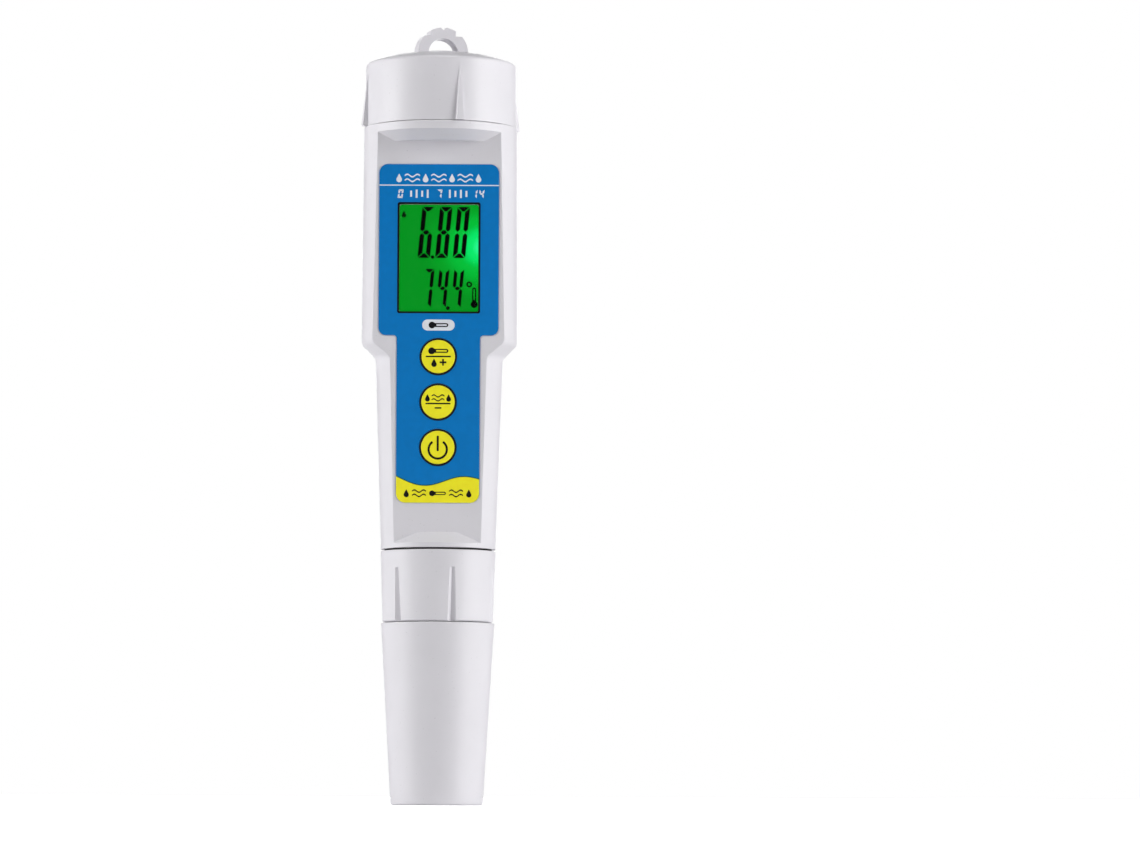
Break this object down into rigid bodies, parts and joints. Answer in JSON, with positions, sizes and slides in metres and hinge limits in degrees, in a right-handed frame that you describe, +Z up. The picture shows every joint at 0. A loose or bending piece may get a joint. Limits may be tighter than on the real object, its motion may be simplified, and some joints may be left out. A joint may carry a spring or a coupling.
{
  "type": "water test pen",
  "caption": "Pocket pH, TDS and temperature test pen with display, push keys, screw-on battery cap with lanyard loop, and a protective cap over the electrode.",
  "frame": {"origin": "centre of the protective cap's flat bottom, on the surface that the pen stands on", "axes": "+Z up along the pen; the front with the display faces -Y; +X is to the right seen from the front"},
  "size_m": [0.038, 0.038, 0.188],
  "materials": {
    "shell_plastic": "satin moulded",
    "seal_rubber": "smooth black elastomer",
    "foam": "open-cell sponge",
    "electrode_plastic": "satin moulded",
    "black_plastic": "satin moulded",
    "white_plastic": "satin moulded",
    "bulb_glass": "thin clear glass",
    "silver": "drawn wire",
    "gel": "clear gel",
    "ceramic": "porous ceramic",
    "steel": "satin",
    "gold": "plated contact",
    "nickel": "plated spring strip",
    "cell_steel": "bright pressed can",
    "overlay_film": "printed film, fine matt texture",
    "clear_window": "clear acrylic",
    "lcd_glass": "lit display",
    "light_guide": "clear diffusing plate",
    "board_green": "solder mask",
    "key_yellow": "smooth printed key",
    "key_black": "soft skirt"
  },
  "bodies": {
    "protective_cap": {"protective_cap": "shell_plastic", "storage_sponge": "foam"},
    "electrode": {"electrode_body": "electrode_plastic", "sensor_plate": "electrode_plastic", "ph_glass": "bulb_glass", "ph_inner_wire": "silver", "reference_gel": "gel", "reference_junction": "ceramic", "conductivity_pins": "steel", "temperature_sensor": "steel", "contact_pins": "gold", "cap_o_ring": "seal_rubber", "plug_o_ring": "seal_rubber", "electrode_gasket": "seal_rubber"},
    "collar": {"electrode_collar": "shell_plastic"},
    "pen_body": {"body_shell": "shell_plastic", "collar_seal": "seal_rubber", "electrode_socket": "black_plastic", "front_overlay": "overlay_film", "display_window": "clear_window", "lcd_panel": "lcd_glass", "lcd_frame": "white_plastic", "connector_strip": "seal_rubber", "backlight": "light_guide", "backlight_led": "light_guide", "main_board": "board_green", "board_parts": "black_plastic", "inner_frame": "white_plastic", "board_screws": "steel", "sensor_ribbon": "white_plastic", "battery_holder": "black_plastic", "negative_contact": "nickel", "positive_strip": "nickel", "temperature_key_switch": "steel", "mode_key_switch": "steel", "power_key_switch": "steel", "button_cell_1": "cell_steel", "button_cell_2": "cell_steel", "button_cell_3": "cell_steel", "button_cell_4": "cell_steel"},
    "cap_gasket": {"battery_cap_gasket": "seal_rubber"},
    "battery_cap": {"battery_cap": "shell_plastic", "cap_contact_plate": "nickel", "cap_contact_spring": "nickel"},
    "temperature_key": {"temperature_key": "key_yellow", "temperature_key_skirt": "key_black", "temperature_key_plunger": "black_plastic"},
    "mode_key": {"mode_key": "key_yellow", "mode_key_skirt": "key_black", "mode_key_plunger": "black_plastic"},
    "power_key": {"power_key": "key_yellow", "power_key_skirt": "key_black", "power_key_plunger": "black_plastic"}
  },
  "joints": [
    {"name": "pull_from_cap", "type": "slide", "parent": "protective_cap", "child": "electrode", "axis": [0, 0, 1], "range_m": [0, 0.045]},
    {"name": "collar_turn", "type": "hinge", "parent": "electrode", "child": "collar", "pos_m": [0, 0, 0.0525], "axis": [0, 0, -1], "range_deg": [0, 810]},
    {"name": "body_release", "type": "slide", "parent": "electrode", "child": "pen_body", "axis": [0, 0, 1], "range_m": [0, 0.0091]},
    {"name": "cap_seal_rise", "type": "slide", "parent": "pen_body", "child": "cap_gasket", "axis": [0, 0, 1], "range_m": [0, 0.0091]},
    {"name": "battery_cap_turn", "type": "hinge", "parent": "cap_gasket", "child": "battery_cap", "pos_m": [0, 0, 0.171], "axis": [0, 0, 1], "range_deg": [0, 810]},
    {"name": "temperature_key_press", "type": "slide", "parent": "pen_body", "child": "temperature_key", "axis": [0, 0.9998, 0.0202], "range_m": [0, 0.0004], "stiffness_N_per_m": 1500},
    {"name": "mode_key_press", "type": "slide", "parent": "pen_body", "child": "mode_key", "axis": [0, 0.9998, 0.0202], "range_m": [0, 0.0004], "stiffness_N_per_m": 1500},
    {"name": "power_key_press", "type": "slide", "parent": "pen_body", "child": "power_key", "axis": [0, 0.9998, 0.0202], "range_m": [0, 0.0004], "stiffness_N_per_m": 1500}
  ],
  "couplings": [
    {"joint": "body_release", "follows": "collar_turn", "m_per_rad": 0.00063662},
    {"joint": "cap_seal_rise", "follows": "battery_cap_turn", "m_per_rad": 0.00063662}
  ]
}
